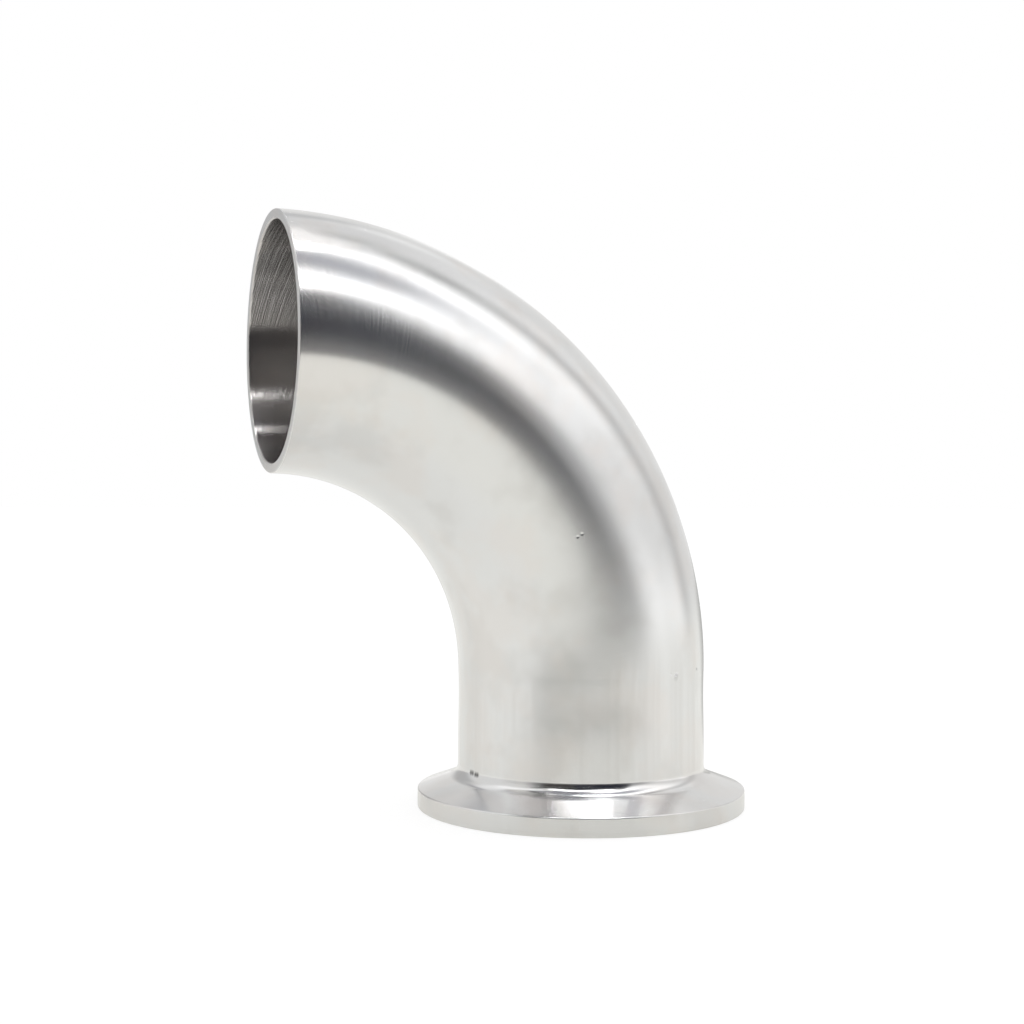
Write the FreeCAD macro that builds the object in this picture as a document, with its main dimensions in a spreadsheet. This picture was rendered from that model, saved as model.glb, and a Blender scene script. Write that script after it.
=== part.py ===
"""Ninety degree elbow for hygienic tubing: a bent tube with a plain weld end and a clamp ferrule.

The clamp face lies in the XY plane with its centre at the origin. The ferrule's neck rises
along +Z, and the bend turns from its top towards -X, where the plain end opens. The two pieces
meet face to face at the girth weld, which is dressed flush on both sides.
"""

import FreeCAD
import Part
import Sketcher
import math
import os

# name, value, what it is; lengths in millimetres and angles in degrees
SIZES = [
    ("tube_diameter", 38.0, "outside of the bent tube and of the ferrule's neck"),
    ("wall_thickness", 1.5, "wall of tube and neck, whose bores run in line"),
    ("bend_radius", 48.5, "bend, to the tube's centre line"),
    ("bend_angle", 90.0, "turn of the bend"),
    ("end_edge_break", 0.15, "chamfers that take the burr off the weld end"),
    ("ferrule_length", 21.5, "clamp face to girth weld"),
    ("rim_reach", 6.25, "rim's edge, out from the neck"),
    ("rim_thickness", 2.85, "straight side of the rim"),
    ("rim_edge_round", 0.25, "rounding of the rim's two edges"),
    ("cone_angle", 20.0, "slope of the rim's back, on which the clamp wedges"),
    ("neck_fillet", 2.2, "hollow between cone and neck"),
    ("groove_offset", 2.75, "middle of the gasket groove, out from the neck"),
    ("groove_width", 4.2, "gasket groove at the clamp face"),
    ("groove_depth", 1.6, "gasket groove, up from the clamp face"),
]

# The same lengths as the expressions use them
TUBE_RADIUS = "sizes.tube_diameter / 2"
BORE_RADIUS = "(sizes.tube_diameter / 2 - sizes.wall_thickness)"
RIM_RADIUS = "(sizes.tube_diameter / 2 + sizes.rim_reach)"
CONE_RISE = "sizes.rim_reach * tan(sizes.cone_angle * 1 deg)"
# A groove of circular section: the radius that gives the width and the depth
GROOVE_RADIUS = "(sizes.groove_width^2 / 4 + sizes.groove_depth^2) / (2 * sizes.groove_depth)"


def make_sheet(doc):
    """The driving dimensions: name, value and meaning in columns A, B and C."""
    sheet = doc.addObject("Spreadsheet::Sheet", "sizes")
    for row, (name, value, meaning) in enumerate(SIZES, start=1):
        sheet.set(f"A{row}", name)
        sheet.set(f"B{row}", str(value))
        sheet.set(f"C{row}", meaning)
        sheet.setAlias(f"B{row}", name)
    doc.recompute()
    return sheet


def make_body(doc, label):
    body = doc.addObject("PartDesign::Body", label)
    body.Label = label
    return body


def make_sketch(body, name, role):
    """An empty sketch on the body's own origin plane of that role."""
    plane = next(f for f in body.Origin.OriginFeatures if f.Role == role)
    sketch = body.newObject("Sketcher::SketchObject", name)
    sketch.AttachmentSupport = [(plane, "")]
    sketch.MapMode = "FlatFace"
    return sketch


def at(x, y):
    """A point of a sketch."""
    return FreeCAD.Vector(x, y, 0)


def drive(sketch, name, expression, *constraint):
    """Adds a named dimension and drives it from the sheet."""
    index = sketch.addConstraint(Sketcher.Constraint(*constraint))
    sketch.renameConstraint(index, name)
    sketch.setExpression(f"Constraints.{name}", expression)


def turn(body, name, sketch, axis, angle, reverse=False):
    """The sketch's outline turned about one of its own axes."""
    feature = body.newObject("PartDesign::Revolution", name)
    feature.Profile = sketch
    feature.ReferenceAxis = (sketch, [axis])
    feature.Reversed = reverse
    feature.setExpression("Angle", angle)
    body.Document.recompute()
    return feature


def full_circles(shape, centre, radii):
    """Names of the shape's full circles of these radii round a centre point."""
    tolerance = 1e-4
    names = []
    for radius in radii:
        for number, edge in enumerate(shape.Edges, start=1):
            curve = edge.Curve
            if not isinstance(curve, Part.Circle) or not edge.isClosed():
                continue
            if (curve.Center - centre).Length < tolerance and abs(curve.Radius - radius) < tolerance:
                names.append(f"Edge{number}")
                break
        else:
            raise RuntimeError(f"no circle of radius {radius:.3f} round {centre}")
    return names


def soften(body, kind, name, edges, size_name, expression):
    """A fillet or chamfer on named edges of the body's last feature."""
    base = body.Tip
    feature = body.newObject(kind, name)
    feature.Base = (base, edges)
    feature.setExpression(size_name, expression)
    body.Document.recompute()
    return feature


def make_bend_tube(doc, sheet):
    """The bend: the tube's ring section turned about an axis one bend radius beside the neck."""
    body = make_body(doc, "bend_tube")
    ring = make_sketch(body, "tube_section", "XY_Plane")
    ring.setExpression("AttachmentOffset.Base.z", "sizes.ferrule_length")

    up = FreeCAD.Vector(0, 0, 1)
    outside = ring.addGeometry(Part.Circle(at(0, 0), up, 20))
    bore = ring.addGeometry(Part.Circle(at(0, 0), up, 15))
    axis = ring.addGeometry(Part.LineSegment(at(-50, 0), at(-50, 30)), True)
    ring.addConstraint(Sketcher.Constraint("Coincident", outside, 3, -1, 1))
    ring.addConstraint(Sketcher.Constraint("Coincident", bore, 3, -1, 1))
    ring.addConstraint(Sketcher.Constraint("Vertical", axis))
    ring.addConstraint(Sketcher.Constraint("PointOnObject", axis, 1, -1))
    drive(ring, "outside", TUBE_RADIUS, "Radius", outside, 20)
    drive(ring, "bore", BORE_RADIUS, "Radius", bore, 15)
    drive(ring, "centre_line", "sizes.bend_radius", "DistanceX", axis, 1, -1, 1, 50)
    drive(ring, "axis_end", TUBE_RADIUS, "DistanceY", axis, 1, axis, 2, 30)
    turn(body, "bend", ring, "Axis0", "sizes.bend_angle * 1 deg", reverse=True)

    bend_angle = math.radians(sheet.bend_angle)
    weld_end = FreeCAD.Vector(
        -sheet.bend_radius * (1 - math.cos(bend_angle)),
        0,
        sheet.ferrule_length + sheet.bend_radius * math.sin(bend_angle),
    )
    radius = sheet.tube_diameter / 2
    edges = full_circles(body.Tip.Shape, weld_end, [radius, radius - sheet.wall_thickness])
    soften(
        body,
        "PartDesign::Chamfer",
        "weld_end_edges",
        edges,
        "Size",
        "min(sizes.end_edge_break; sizes.wall_thickness / 3)",
    )
    return body


def make_clamp_ferrule(doc, sheet):
    """The turned ferrule: neck, rim with its cone, and the gasket groove in the clamp face."""
    body = make_body(doc, "clamp_ferrule")
    half = make_sketch(body, "ferrule_section", "XZ_Plane")
    # corners from the bore's mouth, up the bore, over the neck, down the cone and the rim
    corners = [at(17, 0), at(17, 20), at(19, 20), at(19, 5), at(25, 3), at(25, 0)]
    for start, end in zip(corners, corners[1:] + corners[:1]):
        half.addGeometry(Part.LineSegment(start, end))
    bore, top, neck, cone, side, face = range(6)
    for line, following in ((bore, top), (top, neck), (neck, cone), (cone, side), (side, face), (face, bore)):
        half.addConstraint(Sketcher.Constraint("Coincident", line, 2, following, 1))
    for line in (bore, neck, side):
        half.addConstraint(Sketcher.Constraint("Vertical", line))
    for line in (top, face):
        half.addConstraint(Sketcher.Constraint("Horizontal", line))
    half.addConstraint(Sketcher.Constraint("PointOnObject", bore, 1, -1))
    drive(half, "bore", BORE_RADIUS, "DistanceX", -1, 1, bore, 1, 17)
    drive(half, "neck", TUBE_RADIUS, "DistanceX", -1, 1, neck, 1, 19)
    drive(half, "rim", RIM_RADIUS, "DistanceX", -1, 1, side, 1, 25)
    drive(half, "length", "sizes.ferrule_length", "DistanceY", -1, 1, top, 1, 20)
    drive(half, "rim_side", "sizes.rim_thickness", "DistanceY", -1, 1, side, 1, 3)
    drive(half, "cone_foot", f"sizes.rim_thickness + {CONE_RISE}", "DistanceY", -1, 1, cone, 1, 5)
    turn(body, "ferrule", half, "V_Axis", "360 deg")

    # The groove's outline is a full circle whose centre stands below the clamp face
    section = make_sketch(body, "groove_section", "XZ_Plane")
    circle = section.addGeometry(Part.Circle(at(22, -1), FreeCAD.Vector(0, 0, 1), 2))
    drive(section, "middle", f"{TUBE_RADIUS} + sizes.groove_offset", "DistanceX", -1, 1, circle, 3, 22)
    drive(section, "drop", f"{GROOVE_RADIUS} - sizes.groove_depth", "DistanceY", circle, 3, -1, 1, 1)
    drive(section, "hollow", GROOVE_RADIUS, "Radius", circle, 2)
    groove = body.newObject("PartDesign::Groove", "gasket_groove")
    groove.Profile = section
    groove.ReferenceAxis = (section, ["V_Axis"])
    groove.Angle = 360
    doc.recompute()

    radius = sheet.tube_diameter / 2
    cone_rise = sheet.rim_reach * math.tan(math.radians(sheet.cone_angle))
    cone_foot = FreeCAD.Vector(0, 0, sheet.rim_thickness + cone_rise)
    edges = full_circles(body.Tip.Shape, cone_foot, [radius])
    soften(body, "PartDesign::Fillet", "neck_hollow", edges, "Radius", "min(sizes.neck_fillet; sizes.rim_reach)")

    rim = radius + sheet.rim_reach
    edges = full_circles(body.Tip.Shape, FreeCAD.Vector(0, 0, 0), [rim])
    edges += full_circles(body.Tip.Shape, FreeCAD.Vector(0, 0, sheet.rim_thickness), [rim])
    soften(
        body,
        "PartDesign::Fillet",
        "rim_edges",
        edges,
        "Radius",
        "min(sizes.rim_edge_round; sizes.rim_thickness / 3)",
    )
    return body


def check(doc, bodies):
    """Stops the build if a feature failed or a piece isn't one valid solid."""
    failed = [o.Label for o in doc.Objects if "Invalid" in o.State or "Error" in o.State]
    if failed:
        raise RuntimeError(f"these failed: {failed}")
    for body in bodies:
        shape = body.Shape
        if shape.isNull() or not shape.isValid() or len(shape.Solids) != 1:
            raise RuntimeError(f"{body.Label} isn't one valid solid")


def main():
    doc = FreeCAD.newDocument("elbow")
    sheet = make_sheet(doc)
    bodies = [make_bend_tube(doc, sheet), make_clamp_ferrule(doc, sheet)]
    doc.recompute()
    check(doc, bodies)
    os.makedirs("parts", exist_ok=True)
    for body in bodies:
        body.Shape.exportStep(f"parts/{body.Label}.step")
        box = body.Shape.BoundBox
        print(
            f"{body.Label}: {body.Shape.Volume:.1f} mm3, "
            f"X {box.XMin:.2f}..{box.XMax:.2f}, Y {box.YMin:.2f}..{box.YMax:.2f}, Z {box.ZMin:.2f}..{box.ZMax:.2f}"
        )


main()
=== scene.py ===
"""Looks of the ninety degree elbow: polished stainless tube, welded clamp ferrule, white table.

Lengths are worked out in millimetres, as on a drawing, and become metres where a mesh is written.
A place on the elbow is given by s, the length along its centre line from the clamp face, by the
angle round that line (0 on the outside of the bend, 90 degrees on the side that faces -Y) and by
the distance r from the line.
"""

import math

import bpy
import numpy as np
from mathutils import Matrix, Vector


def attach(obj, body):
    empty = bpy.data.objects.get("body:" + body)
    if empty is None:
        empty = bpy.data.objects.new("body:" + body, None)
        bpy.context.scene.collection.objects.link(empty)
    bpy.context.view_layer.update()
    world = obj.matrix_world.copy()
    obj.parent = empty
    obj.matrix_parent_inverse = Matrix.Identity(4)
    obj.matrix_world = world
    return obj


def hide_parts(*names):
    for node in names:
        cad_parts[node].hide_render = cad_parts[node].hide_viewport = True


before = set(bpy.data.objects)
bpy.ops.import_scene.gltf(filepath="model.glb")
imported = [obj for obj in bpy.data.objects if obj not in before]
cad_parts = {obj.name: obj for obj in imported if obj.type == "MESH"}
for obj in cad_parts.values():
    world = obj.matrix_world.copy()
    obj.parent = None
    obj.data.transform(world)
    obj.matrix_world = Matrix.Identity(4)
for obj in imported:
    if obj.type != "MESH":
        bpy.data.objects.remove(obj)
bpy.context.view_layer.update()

MM = 0.001

# The elbow's sizes, those of the solids but for its edges, which are rounded
TUBE_RADIUS = 19.0
BORE_RADIUS = 17.5
BEND_RADIUS = 48.5
FERRULE_LENGTH = 21.5
END = FERRULE_LENGTH + BEND_RADIUS * math.pi / 2    # the open end's s
END_OUTER_EDGE = 0.15   # roundings of the open end's corners
END_INNER_EDGE = 0.25
RIM_RADIUS = 25.25
RIM_THICKNESS = 2.85
RIM_EDGE = 0.25
CONE_FOOT = 5.125       # height at which the cone would meet the neck
NECK_FILLET = 2.2
MOUTH_EDGE = 0.05       # rounding of the bore's corner at the clamp face
GROOVE_MIDDLE = 21.75
GROOVE_RADIUS = 2.178   # of the gasket groove's circular section
GROOVE_DEPTH = 1.6
GROOVE_POINTS = 25

# The waist that grinding the girth weld flush has left in the neck
WAIST_S = 17.5
WAIST_SPREAD = 4.0
WAIST_DEPTH = 0.08
WAIST_SWING = 0.02      # how much deeper and shallower it gets round the neck
WAIST_TURN = 0.6        # radians, which turns its deepest sides round the neck
ON_THE_TUBE = 0.01      # how near to the tube's radius the outside is

# The mesh: faces round the tube, and mm along the outline from point to point
ROUND_STEPS = 192
SIDE_STEPS = {"outside": 0.55, "bore": 0.7, "weld": 3.0}
OTHER_STEP = 0.8        # on every other side
ARC_STEP = 0.12         # on a rounded corner, which has at least ARC_POINTS
ARC_POINTS = 5
EDGE_STEP = 0.04        # first and last on a side, or EDGE_SHARE of a very short one
EDGE_SHARE = 0.3


# ---------------------------------------------------------------- shapes

def rounded_outline(corners):
    """A closed outline with its corners rounded.

    corners holds (s, r, rounding, zone): zone belongs to the side that starts there. Each corner
    becomes the arc that touches both its sides, and each side is divided evenly between a first
    and a last step that are very short, so that the arcs don't bend its shading.
    Returns the points and the zone of the side that follows each point.
    """
    place = np.array([c[:2] for c in corners], float)
    bends = []          # of each corner: its arc's first, last and all points
    for i, (_, _, rounding, _) in enumerate(corners):
        here, before, after = place[i], place[i - 1], place[(i + 1) % len(corners)]
        if rounding == 0:
            bends.append((here, here, [here]))
            continue
        u, v = before - here, after - here
        u, v = u / np.linalg.norm(u), v / np.linalg.norm(v)
        half = math.acos(np.clip(u @ v, -1, 1)) / 2
        reach = rounding / math.tan(half)
        middle = here + (u + v) / np.linalg.norm(u + v) * rounding / math.sin(half)
        first, last = here + u * reach, here + v * reach
        turn = math.pi - 2 * half
        share = np.linspace(0, 1, max(ARC_POINTS, int(turn * rounding / ARC_STEP)))[:, None]
        arc = np.sin((1 - share) * turn) * (first - middle) + np.sin(share * turn) * (last - middle)
        bends.append((first, last, list(middle + arc / math.sin(turn))))

    points, zones = [], []
    for i, (_, _, _, zone) in enumerate(corners):
        _, start, arc = bends[i]
        stop = bends[(i + 1) % len(corners)][0]
        # An arc belongs to the side before it, or at either end of the cone to the side after it
        before = corners[i - 1][3]
        points += arc[:-1]
        zones += [zone if "cone" in (zone, before) else before] * (len(arc) - 1)
        length = np.linalg.norm(stop - start)
        steps = max(2, int(length / SIDE_STEPS.get(zone, OTHER_STEP)))
        edge = min(EDGE_STEP / length, EDGE_SHARE)
        share = np.concatenate([[0, edge], np.linspace(0, 1, steps + 1)[1:-1], [1 - edge]])
        points += list(start + (stop - start) * share[:, None])
        zones += [zone] * len(share)
    return np.array(points), zones


def other_way_round(outline, zones):
    """The same outline run the other way, with the zone of the side that follows each point."""
    return outline[::-1], zones[-2::-1] + zones[-1:]


def dressing(s, r, angle):
    """How far the surface stands off its true radius, in mm, from the grinding flush of the weld.

    A shallow waist just under the girth weld. Along s it is a bell curve, exp(-((s - its middle) /
    its spread)^2), and its depth swings twice round the neck.
    """
    outside = np.abs(r - TUBE_RADIUS) < ON_THE_TUBE
    depth = WAIST_DEPTH + WAIST_SWING * np.sin(2 * angle + WAIST_TURN)
    return -depth * np.exp(-((s - WAIST_S) / WAIST_SPREAD) ** 2) * outside


def swept(outline, angle):
    """The outline's points carried round the elbow's centre line, in mm.

    A point of the outline at (s, r) becomes, for each angle, the centre line's point at s plus
    r times (cos angle * outwards + sin angle * towards -Y). The centre line rises straight to the
    weld and then follows a quarter circle towards -X.
    """
    s, r = outline[:, 0][:, None], outline[:, 1][:, None]
    r = r + dressing(s, r, angle)
    turn = np.clip((s - FERRULE_LENGTH) / BEND_RADIUS, 0, np.pi / 2)
    x = -BEND_RADIUS * (1 - np.cos(turn)) + r * np.cos(angle) * np.cos(turn)
    y = -r * np.sin(angle)
    z = np.minimum(s, FERRULE_LENGTH) + BEND_RADIUS * np.sin(turn) + r * np.cos(angle) * np.sin(turn)
    return np.stack(np.broadcast_arrays(x, y, z), -1).reshape(-1, 3)


def carried(name, outline, zones, materials, sharp):
    """A piece made of the swept outline, with a row of quads from each of its points to the next.

    zones gives the zone of each row, materials each zone's material, and sharp the places (s, r)
    whose circles stay sharp edges.
    """
    rows, columns = len(outline), ROUND_STEPS
    angle = np.linspace(0, 2 * np.pi, columns, endpoint=False)[None, :]
    points = swept(outline, angle) * MM
    row, column = np.arange(rows)[:, None], np.arange(columns)[None, :]
    next_row, next_column = (row + 1) % rows, (column + 1) % columns
    faces = np.stack([row * columns + column, next_row * columns + column,
                      next_row * columns + next_column, row * columns + next_column], -1).reshape(-1, 4)

    mesh = bpy.data.meshes.new(name)
    mesh.vertices.add(len(points))
    mesh.vertices.foreach_set("co", points.ravel())
    mesh.loops.add(faces.size)
    mesh.loops.foreach_set("vertex_index", faces.ravel())
    mesh.polygons.add(len(faces))
    mesh.polygons.foreach_set("loop_start", np.arange(0, faces.size, 4))
    mesh.update(calc_edges=True)

    # UV in millimetres: U along the outline, the way that marks spread a reflection, and V round
    closed = np.vstack([outline, outline[:1]])
    run = np.concatenate([[0], np.cumsum(np.linalg.norm(np.diff(closed, axis=0), axis=1))])
    u = np.stack([run[row], run[row + 1], run[row + 1], run[row]], -1)
    v = np.stack([column, column, column + 1, column + 1], -1) * (2 * np.pi * TUBE_RADIUS / columns)
    uv = np.stack(np.broadcast_arrays(u, v), -1)
    mesh.uv_layers.new(name="lay").data.foreach_set("uv", uv.astype(np.float32).ravel())

    # Where a point lies on the elbow, for marks that run round it with no seam: the cosine and sine
    # of its angle, and its length along the outline; and s by itself, as its station
    place = np.stack(np.broadcast_arrays(np.cos(angle), np.sin(angle), run[:-1][:, None]), -1)
    around = mesh.attributes.new("around", "FLOAT_VECTOR", "POINT")
    around.data.foreach_set("vector", place.astype(np.float32).ravel())
    station = mesh.attributes.new("station", "FLOAT", "POINT")
    station.data.foreach_set("value", np.repeat(outline[:, 0], columns).astype(np.float32))

    order = list(materials)
    for zone in order:
        mesh.materials.append(materials[zone])
    mesh.polygons.foreach_set("material_index", np.repeat([order.index(z) for z in zones], columns))
    mesh.polygons.foreach_set("use_smooth", np.ones(len(faces), bool))
    sharp_rows = [int(np.argmin(np.linalg.norm(outline - np.array(p), axis=1))) for p in sharp]
    ends = np.empty(len(mesh.edges) * 2, np.int32)
    mesh.edges.foreach_get("vertices", ends)
    rows_of_ends = ends.reshape(-1, 2) // columns
    along_a_row = rows_of_ends[:, 0] == rows_of_ends[:, 1]
    mesh.edges.foreach_set("use_edge_sharp", along_a_row & np.isin(rows_of_ends[:, 0], sharp_rows))
    mesh.validate()
    mesh.update()
    piece = bpy.data.objects.new(name, mesh)
    bpy.context.scene.collection.objects.link(piece)
    return piece


# ---------------------------------------------------------------- finishes

def linear(hex_colour):
    """An sRGB hex colour as linear RGBA."""
    parts = [int(hex_colour[i:i + 2], 16) / 255 for i in (1, 3, 5)]
    return [p / 12.92 if p <= 0.04045 else ((p + 0.055) / 1.055) ** 2.4 for p in parts] + [1.0]


def add(tree, kind, settings=None, **inputs):
    """Adds a node. settings are its properties; inputs are values, or sockets that it links to.

    An input's name has _ for a space, and in_0, in_1 and so on stand for its number. Mixed
    colours are inputs 6 and 7 of their node, and its output 2.
    """
    node = tree.nodes.new(kind)
    for key, value in (settings or {}).items():
        setattr(node, key, value)
    for key, value in inputs.items():
        socket = node.inputs[int(key[3:]) if key.startswith("in_") else key.replace("_", " ")]
        if isinstance(value, bpy.types.NodeSocket):
            tree.links.new(value, socket)
        else:
            socket.default_value = value
    return node


def emptied(owner):
    """The node tree of a material or world, with no nodes in it."""
    owner.use_nodes = True
    owner.node_tree.nodes.clear()
    return owner.node_tree


# Settings that many nodes share
SMOOTH = {"interpolation_type": "SMOOTHSTEP"}
COLOURS = {"data_type": "RGBA"}
TIMES = {"operation": "MULTIPLY"}
PLUS = {"operation": "ADD"}
TIMES_PLUS = {"operation": "MULTIPLY_ADD"}
DOT = {"operation": "DOT_PRODUCT"}

STEEL = "#DFDFDF"
STEEL_DULL = "#CDCBC9"
BORE_STEEL = "#C8C5C4"
BORE_STEEL_DULL = "#B5B2B0"
STRAW_STEEL = "#DFD5CE"
PICKLED_STEEL = "#D6D2CE"
DIRT = "#2B2927"

# Sizes in mm of what varies slowly over the steel
STAIN_SIZE = 9
HEAT_SIZE = 11
STREAK_WIDTH = 2.2
# Between these s, towards the open end, the marks grow to that many times their height
MARKS_GROW = (40.0, 85.0)
MARKS_GROWTH = 3.2
# Between these s the neck's finish goes over to the bend's
NECK_TO_BEND = (20.0, 29.0)
STREAK_HEIGHT = 0.05    # of the streaks that run down the neck, in mm
STREAK_DULLNESS = 0.45  # most of the duller colour that they take on, as a share
STRAW_SHARE = 0.22      # most of the straw colour, as a share
SKIN_FADE = 6           # mm over which the bore's pickled skin comes and goes

# Small flaws, each with its place, radius and depth in mm, and how much dirt it holds
PITS = [
    # in the weld, at the front and on the right; the first stands proud
    ((8.05, -17.2, 21.2), 0.75, -0.12, 0.15),
    ((6.96, -17.68, 21.8), 0.35, 0.05, 0.0),
    ((13.2, -13.67, 21.9), 0.35, 0.06, 0.25),
    ((15.84, -10.49, 21.0), 0.35, 0.06, 0.25),
    # in the bend
    ((-7.68, -18.82, 42.4), 0.3, 0.025, 0.0),
    ((-8.3, -18.7, 42.0), 0.3, 0.025, 0.0),
]
HOLLOW_PITS = [
    # in the hollow between neck and cone, at its left end, two and two as one
    ((-18.84, -2.61, 6.4), 0.6, 0.03, 0.85),
    ((-18.74, -3.2, 6.4), 0.6, 0.03, 0.85),
    ((-18.57, -4.02, 6.3), 0.6, 0.03, 0.85),
    ((-18.45, -4.55, 6.3), 0.6, 0.03, 0.85),
    # and at its front
    ((11.51, -15.49, 6.2), 0.35, 0.05, 0.5),
]


def steel(name, roughness, anisotropy, marks, dull=0.3, wander=(12.0, 0.004), neck=None, slant=0.0,
          colours=(STEEL, STEEL_DULL), pits=(), ground=0.0):
    """Bare stainless steel with the marks of its last tool running round it.

    marks is (spacing, height, length to width) in mm. They spread a reflection along the tube, so
    the tangent is U, along the outline. dull is the share of the second of colours in its dullest
    patches. wander is the slow unevenness that work by hand leaves, as (size, height) in mm: it
    makes the edges of reflections wander. neck is the roughness below the girth weld, if it
    differs. slant tilts the planes in which the marks lie. pits are small flaws, as in PITS.
    ground is how far a bore is ground in from the weld end, in mm.
    """
    material = bpy.data.materials.new(name)
    tree = emptied(material)
    position = add(tree, "ShaderNodeTexCoord").outputs["Object"]
    station = add(tree, "ShaderNodeAttribute", {"attribute_name": "station"}).outputs["Fac"]
    around = add(tree, "ShaderNodeAttribute", {"attribute_name": "around"}).outputs["Vector"]
    if slant:
        part = add(tree, "ShaderNodeSeparateXYZ", Vector=around).outputs
        tilt = add(tree, "ShaderNodeMath", TIMES_PLUS, in_0=part["X"], in_1=TUBE_RADIUS * slant,
                   in_2=part["Z"]).outputs[0]
        around = add(tree, "ShaderNodeCombineXYZ", X=part["X"], Y=part["Y"], Z=tilt).outputs[0]

    # The marks: noise stretched round the tube, where one unit is a radius, to that many spacings
    spacing, height, length = marks
    marks_at = add(tree, "ShaderNodeVectorMath", TIMES, in_0=around,
                   in_1=(TUBE_RADIUS / length, TUBE_RADIUS / length, 1.0)).outputs[0]
    lines = add(tree, "ShaderNodeTexNoise", Vector=marks_at, Scale=1 / spacing, Detail=2.0,
                Roughness=0.6).outputs["Fac"]
    line_height = add(tree, "ShaderNodeMapRange", SMOOTH, Value=station, From_Min=MARKS_GROW[0],
                      From_Max=MARKS_GROW[1], To_Min=height, To_Max=height * MARKS_GROWTH).outputs[0]

    # The surface's height in mm, which one bump node reads at the end
    hand = add(tree, "ShaderNodeTexNoise", Vector=position, Scale=1 / (wander[0] * MM), Detail=1.0)
    relief = add(tree, "ShaderNodeMath", TIMES, in_0=hand.outputs["Fac"], in_1=wander[1]).outputs[0]
    relief = add(tree, "ShaderNodeMath", TIMES_PLUS, in_0=lines, in_1=line_height,
                 in_2=relief).outputs[0]

    # Patches that the tool has left a little rougher and duller
    stain = add(tree, "ShaderNodeTexNoise", Vector=position, Scale=1 / (STAIN_SIZE * MM), Detail=3.0,
                Roughness=0.55).outputs["Fac"]
    rough = add(tree, "ShaderNodeMapRange", Value=stain, From_Min=0.3, From_Max=0.7,
                To_Min=roughness * 0.94, To_Max=roughness * 1.08).outputs[0]
    patch = add(tree, "ShaderNodeMapRange", SMOOTH, Value=stain, From_Min=0.45, From_Max=0.68,
                To_Max=dull).outputs[0]
    if neck:
        # Below the girth weld, shallow dull streaks run down it
        bend = add(tree, "ShaderNodeMapRange", SMOOTH, Value=station, From_Min=NECK_TO_BEND[0],
                   From_Max=NECK_TO_BEND[1]).outputs[0]
        rougher = add(tree, "ShaderNodeMapRange", Value=bend, To_Min=neck / roughness,
                      To_Max=1.0).outputs[0]
        rough = add(tree, "ShaderNodeMath", TIMES, in_0=rough, in_1=rougher).outputs[0]
        down_at = add(tree, "ShaderNodeVectorMath", TIMES, in_0=around,
                      in_1=(TUBE_RADIUS, TUBE_RADIUS, 0.0)).outputs[0]
        down = add(tree, "ShaderNodeTexNoise", Vector=down_at, Scale=1 / STREAK_WIDTH, Detail=3.0,
                   Roughness=0.6).outputs["Fac"]
        streaks = add(tree, "ShaderNodeMapRange", Value=bend, To_Min=STREAK_HEIGHT,
                      To_Max=0.0).outputs[0]
        relief = add(tree, "ShaderNodeMath", TIMES_PLUS, in_0=down, in_1=streaks, in_2=relief).outputs[0]
        duller = add(tree, "ShaderNodeMapRange", Value=bend, To_Min=STREAK_DULLNESS,
                     To_Max=0.0).outputs[0]
        streak = add(tree, "ShaderNodeMapRange", Value=down, From_Min=0.42, From_Max=0.7,
                     To_Max=duller).outputs[0]
        patch = add(tree, "ShaderNodeMath", {"operation": "MAXIMUM"}, in_0=patch, in_1=streak).outputs[0]
    colour = add(tree, "ShaderNodeMix", COLOURS, Factor=patch, in_6=linear(colours[0]),
                 in_7=linear(colours[1])).outputs[2]

    # Faintly straw-coloured patches, from the heat of welding and grinding
    heat = add(tree, "ShaderNodeTexNoise", Vector=position, Scale=1 / (HEAT_SIZE * MM), Detail=3.0,
               Roughness=0.6).outputs["Fac"]
    straw = add(tree, "ShaderNodeMapRange", Value=heat, From_Min=0.46, From_Max=0.6,
                To_Max=STRAW_SHARE).outputs[0]
    colour = add(tree, "ShaderNodeMix", COLOURS, Factor=straw, in_6=colour,
                 in_7=linear(STRAW_STEEL)).outputs[2]
    if ground:
        # The bend's bore is ground as far in as a wheel reaches, and keeps its pale pickled skin beyond
        reached = END - ground
        beyond = add(tree, "ShaderNodeMapRange", SMOOTH, Value=station, From_Min=reached - SKIN_FADE,
                     From_Max=reached, To_Min=1.0, To_Max=0.0).outputs[0]
        above_weld = add(tree, "ShaderNodeMapRange", SMOOTH, Value=station, From_Min=FERRULE_LENGTH,
                         From_Max=FERRULE_LENGTH + SKIN_FADE).outputs[0]
        skin = add(tree, "ShaderNodeMath", TIMES, in_0=beyond, in_1=above_weld).outputs[0]
        colour = add(tree, "ShaderNodeMix", COLOURS, Factor=skin, in_6=colour,
                     in_7=linear(PICKLED_STEEL)).outputs[2]
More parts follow.
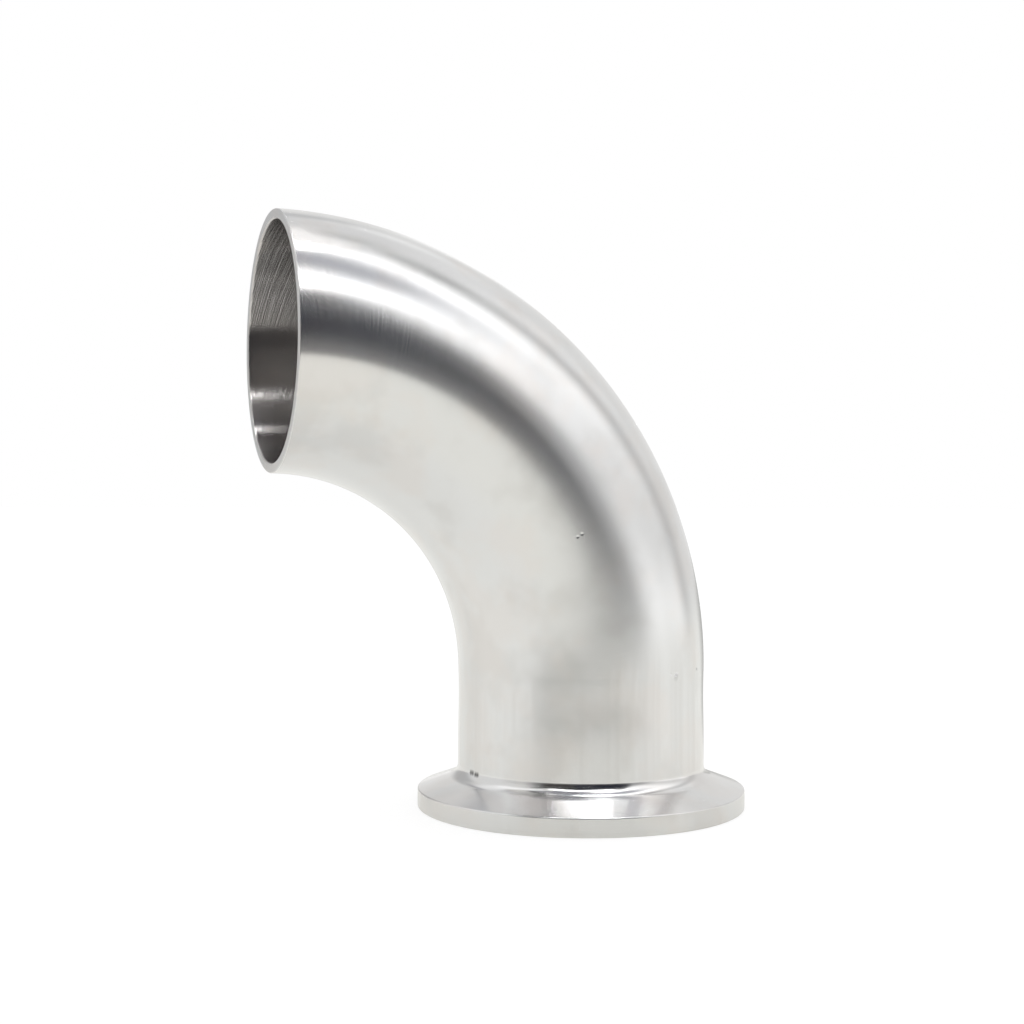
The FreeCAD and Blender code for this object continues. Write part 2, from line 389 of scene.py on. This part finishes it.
    # A flaw is deepest in its middle, where it also holds most of its dirt
    for place, radius, depth, dirt in pits:
        away = add(tree, "ShaderNodeVectorMath", {"operation": "DISTANCE"}, in_0=position,
                   in_1=[v * MM for v in place]).outputs["Value"]
        rise = add(tree, "ShaderNodeMapRange", SMOOTH, Value=away, From_Max=radius * MM).outputs[0]
        relief = add(tree, "ShaderNodeMath", TIMES_PLUS, in_0=rise, in_1=depth, in_2=relief).outputs[0]
        held = add(tree, "ShaderNodeMapRange", Value=rise, To_Min=dirt, To_Max=0.0).outputs[0]
        colour = add(tree, "ShaderNodeMix", COLOURS, Factor=held, in_6=colour,
                     in_7=linear(DIRT)).outputs[2]
    surface = add(tree, "ShaderNodeBump", Strength=1.0, Distance=MM, Height=relief)
    tangent = add(tree, "ShaderNodeTangent", {"direction_type": "UV_MAP", "uv_map": "lay"})
    shader = add(tree, "ShaderNodeBsdfPrincipled", Base_Color=colour, Metallic=1.0, Roughness=rough,
                 Anisotropic=anisotropy, Normal=surface.outputs["Normal"], Tangent=tangent.outputs[0])
    add(tree, "ShaderNodeOutputMaterial", Surface=shader.outputs[0])
    return material


# The outside of tube and neck: stainless steel polished with a fine belt that ran round the tube.
# Reflections are drawn out along the tube, and the belt's fine lines cross them. The real lines are
# some 0.05 mm apart, too fine to show, so they are drawn 0.3 mm apart.
outside = steel("belt_polished_outside", 0.197, 0.71, (0.3, 0.0022, 20), dull=0.35, neck=0.2, slant=0.15,
                pits=PITS + HOLLOW_PITS)
# The bore: stainless steel ground with a coarse wheel, a darker grey with long slanting lines
bore = steel("ground_bore", 0.232, 1.0, (0.2, 0.02, 90), dull=0.6, slant=0.14,
             colours=(BORE_STEEL, BORE_STEEL_DULL), ground=9.0)
# The ring at the open end, the clamp face with its groove, and the two faces that meet in the weld:
# faced on the lathe, an even satin grey
faced = steel("faced_end", 0.32, 0.60, (0.2, 0.0045, 60))
# The rim's side: turned with a fine feed, which leaves it satin with faint rings
rim = steel("turned_rim", 0.23, 0.60, (0.25, 0.006, 60), dull=0.5)
# The cone and the hollow above it: turned and then buffed, so that they are nearly a mirror
cone = steel("buffed_cone", 0.16, 0.30, (0.5, 0.002, 30), wander=(6.0, 0.004), pits=HOLLOW_PITS)


# ---------------------------------------------------------------- pieces

tube_outline, tube_zones = rounded_outline([
    (FERRULE_LENGTH, BORE_RADIUS, 0, "bore"),
    (END, BORE_RADIUS, END_INNER_EDGE, "ring"),
    (END, TUBE_RADIUS, END_OUTER_EDGE, "outside"),
    (FERRULE_LENGTH, TUBE_RADIUS, 0, "weld"),
])
tube = carried("polished_bend", tube_outline, tube_zones,
               {"bore": bore, "ring": faced, "outside": outside, "weld": faced},
               [(FERRULE_LENGTH, BORE_RADIUS), (FERRULE_LENGTH, TUBE_RADIUS)])
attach(tube, "root")
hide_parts("bend_tube")

# The groove's section is the part of a circle that lies above the clamp face
groove_half = math.acos(1 - GROOVE_DEPTH / GROOVE_RADIUS)
groove = [(GROOVE_DEPTH - GROOVE_RADIUS + GROOVE_RADIUS * math.cos(a),
           GROOVE_MIDDLE + GROOVE_RADIUS * math.sin(a))
          for a in np.linspace(-groove_half, groove_half, GROOVE_POINTS)]
ferrule_outline, ferrule_zones = other_way_round(*rounded_outline(
    [(FERRULE_LENGTH, TUBE_RADIUS, 0, "outside"),
     (CONE_FOOT, TUBE_RADIUS, NECK_FILLET, "cone"),
     (RIM_THICKNESS, RIM_RADIUS, RIM_EDGE, "rim"),
     (0, RIM_RADIUS, RIM_EDGE, "face")]
    + [(s, r, 0, "face") for s, r in reversed(groove)]
    + [(0, BORE_RADIUS, MOUTH_EDGE, "bore"),
       (FERRULE_LENGTH, BORE_RADIUS, 0, "weld")]))
ferrule = carried("turned_ferrule", ferrule_outline, ferrule_zones,
                  {"outside": outside, "cone": cone, "rim": rim, "face": faced, "bore": bore,
                   "weld": faced},
                  [(FERRULE_LENGTH, TUBE_RADIUS), (FERRULE_LENGTH, BORE_RADIUS), groove[0], groove[-1]])
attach(ferrule, "root")
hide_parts("clamp_ferrule")


# ---------------------------------------------------------------- table and studio

STUDIO_TURN = -20       # degrees that table and lamps are turned against the elbow, as the camera is
TABLE_FRONT = -0.255    # metres from the elbow's foot to the table's front edge
TABLE_FAR = 6.0         # and to its other edges

# The table's light as the steel sees it. It is gone under the tube and has come back to TABLE_CLOSE
# at the rim's edge. From there to the open table, between these metres from the elbow's foot, it
# gains TABLE_GAIN, or loses BACK_RIGHT_LOSS in the shade at the back on the right and BACK_LOSS more
# on the whole of the back.
TABLE_CLOSE = 0.53
OPEN_TABLE = (0.025, 0.065)
TABLE_GAIN = 0.08
BACK_RIGHT_LOSS = 0.40
BACK_LOSS = 0.06
BACK_RIGHT, BACK, FRONT = (0.5, 0.866, 0), (0, 1, 0), (-0.2, -0.98, 0)


def direction(azimuth, elevation):
    """The unit vector that points that way, in degrees: azimuth 0 is -Y, and 90 is +X."""
    a, e = math.radians(azimuth), math.radians(elevation)
    return Vector((math.sin(a) * math.cos(e), -math.cos(a) * math.cos(e), math.sin(e)))


def white_acrylic_sheet():
    """The table's material: to the camera white with a faint shadow, to polished steel with painted
    shade.
    """
    material = bpy.data.materials.new("white_acrylic_sheet")
    tree = emptied(material)
    ray = add(tree, "ShaderNodeLightPath").outputs
    place = add(tree, "ShaderNodeTexCoord").outputs["Object"]
    away = add(tree, "ShaderNodeVectorMath", {"operation": "LENGTH"}, in_0=place).outputs["Value"]
    side = add(tree, "ShaderNodeVectorMath", {"operation": "NORMALIZE"}, in_0=place).outputs[0]
    back_right, back, front = (
        add(tree, "ShaderNodeVectorMath", DOT, in_0=side, in_1=way).outputs["Value"]
        for way in (BACK_RIGHT, BACK, FRONT))

    # Painted shade in the glow that steel sees: none under the tube, and less at the back
    close = add(tree, "ShaderNodeMapRange", SMOOTH, Value=away, From_Min=TUBE_RADIUS * MM,
                From_Max=RIM_RADIUS * MM, To_Max=TABLE_CLOSE).outputs[0]
    right_shade = add(tree, "ShaderNodeMapRange", SMOOTH, Value=back_right, From_Min=0.86, From_Max=1.0,
                      To_Min=TABLE_GAIN, To_Max=-BACK_RIGHT_LOSS).outputs[0]
    back_shade = add(tree, "ShaderNodeMapRange", SMOOTH, Value=back, From_Min=0.35, From_Max=0.75,
                     To_Max=-BACK_LOSS).outputs[0]
    shade = add(tree, "ShaderNodeMath", PLUS, in_0=right_shade, in_1=back_shade).outputs[0]
    further = add(tree, "ShaderNodeMapRange", SMOOTH, Value=away, From_Min=OPEN_TABLE[0],
                  From_Max=OPEN_TABLE[1], To_Max=shade).outputs[0]
    light = add(tree, "ShaderNodeMath", PLUS, in_0=close, in_1=further).outputs[0]
    # Its white is a little warmer before the elbow
    warmth = add(tree, "ShaderNodeMapRange", SMOOTH, Value=front, From_Min=0.7, From_Max=0.97).outputs[0]
    glow = add(tree, "ShaderNodeMix", COLOURS, Factor=warmth, in_6=linear("#FFFFFA"),
               in_7=linear("#FFFEF6")).outputs[2]

    # To the camera most of its white is its own and even, and the rest can take a shadow
    seen = add(tree, "ShaderNodeAddShader",
               in_0=add(tree, "ShaderNodeEmission", Color=(1, 1, 1, 1), Strength=0.80).outputs[0],
               in_1=add(tree, "ShaderNodeBsdfDiffuse", Color=(0.25, 0.25, 0.25, 1)).outputs[0])
    mirrored = add(tree, "ShaderNodeAddShader",
                   in_0=add(tree, "ShaderNodeEmission", Color=glow, Strength=light).outputs[0],
                   in_1=add(tree, "ShaderNodeBsdfDiffuse", Color=(0.41, 0.41, 0.40, 1)).outputs[0])
    plain = add(tree, "ShaderNodeBsdfDiffuse", Color=(0.9, 0.9, 0.88, 1))
    other = add(tree, "ShaderNodeMixShader", Fac=ray["Is Glossy Ray"], in_1=plain.outputs[0],
                in_2=mirrored.outputs[0])
    sheet = add(tree, "ShaderNodeMixShader", Fac=ray["Is Camera Ray"], in_1=other.outputs[0],
                in_2=seen.outputs[0])
    add(tree, "ShaderNodeOutputMaterial", Surface=sheet.outputs[0])
    return material


def white_table():
    """A white sheet that the elbow stands on, with its front edge about 250 mm before the elbow."""
    mesh = bpy.data.meshes.new("table")
    across, away = direction(STUDIO_TURN + 90, 0), direction(STUDIO_TURN + 180, 0)
    corners = [across * x + away * y for x, y in ((-TABLE_FAR, TABLE_FRONT), (TABLE_FAR, TABLE_FRONT),
                                                  (TABLE_FAR, TABLE_FAR), (-TABLE_FAR, TABLE_FAR))]
    mesh.from_pydata(corners, [], [(0, 1, 2, 3)])
    mesh.materials.append(white_acrylic_sheet())
    table = bpy.data.objects.new("table", mesh)
    bpy.context.scene.collection.objects.link(table)


# The studio as the elbow sees it, painted by direction, each panel over those before it.
# Each is laid out in a frame that faces (azimuth, elevation), turned by roll: how far it reaches to
# the left, right, down and up there, its soft edges across and up, and its brightness and tint.
# Degrees, as in direction.
TENT_WHITE, TENT_LEVEL = "#FFFFFE", 0.86     # where no panel is
TINTS = {"plain": "#FFFFFF", "cool": "#F4F6FF", "dusk": "#D2DAFF", "warm": "#FFFAF4"}
PANELS = [
    # above the open end: a dim ceiling
    ("ceiling", (-20, 90, 0), (-44, 6, -52, 50), (16, 14), 0.35, "cool"),
    # to the right and behind
    ("shade under the softbox", (-23.1, 40, -13.6), (-38, 56, -6.9, 6.9), (19, 7), 0.06, "plain"),
    ("left wall, high", (-132, 46, 0), (-26, 26, -8, 8), (12, 10), 1.1, "plain"),
    ("left wall, high, front", (-85, 48, 0), (-24, 32, -7, 7), (12, 8), 1.25, "plain"),
    ("right softbox", (57.3, 48.6, 10.7), (-37.4, 37.4, -24.7, 24.7), (40, 30), 1.41, "plain"),
    ("front softbox", (-17.1, 59.2, -24.4), (8, 37.2, -35, 35), (11, 38), 2.5, "plain"),
    ("softbox frame", (37, 68, 14.9), (-9.6, 9.6, -26.3, 26.3), (9, 27), 0.52, "cool"),
    ("right wall, low", (63.7, -4.9, -1.1), (-30.9, 30.9, -4.8, 4.8), (27, 19), 2.18, "plain"),
    ("corner post", (95.9, 27.6, 11.2), (-7.1, 7.1, -31.4, 31.4), (17, 11), 0.68, "plain"),
    ("post's bend", (126.4, 64.8, 12.9), (-20.9, 20.9, -5.1, 5.1), (4, 13), 0.34, "plain"),
    ("back wall, left", (161.5, 6.6, 24.6), (-3.5, 3.5, -20.6, 20.6), (6, 13.5), 1.19, "plain"),
    ("window", (140.9, 60.4, 0.6), (-8.1, 8.1, -16.7, 16.7), (17, 14), 2.31, "plain"),
    ("window frame", (135.1, 62.3, 46.8), (-6.4, 6.4, -8.9, 8.9), (2, 11), 0.38, "plain"),
    ("back wall, high", (158.1, 55.8, 3.6), (-30, 30, -11.9, 11.9), (40, 15.5), 0.83, "plain"),
    ("back wall, behind the bend", (-165, 0, 0), (-18, 18, -30, 30), (16, 14), 0.55, "plain"),
    # before the table
    ("room beyond the table, left", (-30, 0, 0), (-36, 26, -50, 43), (26, 16), 0.045, "warm"),
    ("room beyond the table", (1, -2.2, 0.1), (-30, 23.1, -53.6, 45), (6.3, 18), 0.037, "dusk"),
    ("room, right side", (21.6, -10.8, 32.8), (-25, 25, -12.7, 12.7), (34, 16), 0.27, "plain"),
    ("lit shelf edges", (-30, 10.5, 0), (-60, 18, -0.8, 0.8), (20, 1.5), 0.22, "plain"),
    ("lit shelf edges, upper", (-30, 24, 0), (-60, 18, -0.9, 0.9), (20, 1.5), 0.32, "plain"),
    # two strip lamps that run along the table
    ("strip lamp, front", (STUDIO_TURN, 90, 0), (-33, 29, -41.2, -38.3), (3, 1.2), 11.5, "plain"),
    ("strip lamp, overhead", (STUDIO_TURN, 90, 0), (-33, 15, -2.8, -0.3), (12, 1.2), 18.0, "plain"),
]


def glowing(hex_colour, strength):
    """A colour's linear RGBA at that brightness."""
    return [strength * v for v in linear(hex_colour)[:3]] + [1]


def studio():
    """The light tent, as a world that is white to the camera and has the panels for reflections."""
    world = bpy.data.worlds.new("light_tent")
    bpy.context.scene.world = world
    world.cycles.sampling_method = "NONE"
    tree = emptied(world)
    look = add(tree, "ShaderNodeTexCoord").outputs["Generated"]
    seen = glowing(TENT_WHITE, TENT_LEVEL)
    for _, (azimuth, elevation, roll), (left, right, low, high), soft, strength, tint in PANELS:
        middle, level, r = direction(azimuth, elevation), direction(azimuth + 90, 0), math.radians(roll)
        upright = middle.cross(level)
        across = math.cos(r) * level + math.sin(r) * upright
        upward = math.cos(r) * upright - math.sin(r) * level
        right_of, ahead, above = (
            add(tree, "ShaderNodeVectorMath", DOT, in_0=look, in_1=v).outputs["Value"]
            for v in (across, middle, upward))
        x = add(tree, "ShaderNodeMath", {"operation": "ARCTAN2"}, in_0=right_of, in_1=ahead).outputs[0]
        y = add(tree, "ShaderNodeMath", {"operation": "ARCSINE"}, in_0=above).outputs[0]
        shares = []
        for offset, start, stop, edge in ((x, left, right, soft[0]), (y, low, high, soft[1])):
            centred = add(tree, "ShaderNodeMath", {"operation": "SUBTRACT"}, in_0=offset,
                          in_1=math.radians(start + stop) / 2).outputs[0]
            size = add(tree, "ShaderNodeMath", {"operation": "ABSOLUTE"}, in_0=centred).outputs[0]
            full = math.radians(stop - start - edge) / 2
            gone = math.radians(stop - start + edge) / 2
            shares.append(add(tree, "ShaderNodeMapRange", SMOOTH, Value=size, From_Min=full,
                              From_Max=gone, To_Min=1.0, To_Max=0.0).outputs[0])
        inside = add(tree, "ShaderNodeMath", TIMES, in_0=shares[0], in_1=shares[1]).outputs[0]
        seen = add(tree, "ShaderNodeMix", COLOURS, Factor=inside, in_6=seen,
                   in_7=glowing(TINTS[tint], strength)).outputs[2]
    ray = add(tree, "ShaderNodeLightPath")
    tent = add(tree, "ShaderNodeMix", COLOURS, Factor=ray.outputs["Is Glossy Ray"], in_6=(1, 1, 1, 1),
               in_7=seen)
    light = add(tree, "ShaderNodeBackground", Color=tent.outputs[2], Strength=1.0)
    add(tree, "ShaderNodeOutputWorld", Surface=light.outputs[0])


# The photograph's view, from fitting the elbow's outlines to it
CAMERA_AZIMUTH, CAMERA_ELEVATION = -20.2052, 0.5607     # degrees, as in direction
CAMERA_ROLL = 0.1028            # degrees
CAMERA_TARGET = (-11.3946, 0, 45.3493)
CAMERA_DISTANCE = 241.2005      # from the target
FOCAL_PIXELS = 1580.0247        # focal length in pixels of a picture PICTURE_WIDTH across
PICTURE_WIDTH = 1024
SENSOR_WIDTH = 36


def camera():
    """The camera: to the left of the front, almost level with the elbow's middle."""
    data = bpy.data.cameras.new("camera")
    data.sensor_width = SENSOR_WIDTH
    data.lens = SENSOR_WIDTH * FOCAL_PIXELS / PICTURE_WIDTH
    data.clip_start = 10 * MM
    eye = bpy.data.objects.new("camera", data)
    bpy.context.scene.collection.objects.link(eye)
    back = direction(CAMERA_AZIMUTH, CAMERA_ELEVATION)
    place = Vector(CAMERA_TARGET) * MM + back * CAMERA_DISTANCE * MM
    turn = (-back).to_track_quat("-Z", "Y").to_matrix().to_4x4()
    roll = Matrix.Rotation(math.radians(CAMERA_ROLL), 4, "Z")
    eye.matrix_world = Matrix.Translation(place) @ turn @ roll
    bpy.context.scene.camera = eye


white_table()
studio()
camera()

scene = bpy.context.scene
scene.view_settings.view_transform = "Standard"
scene.cycles.use_denoising = True
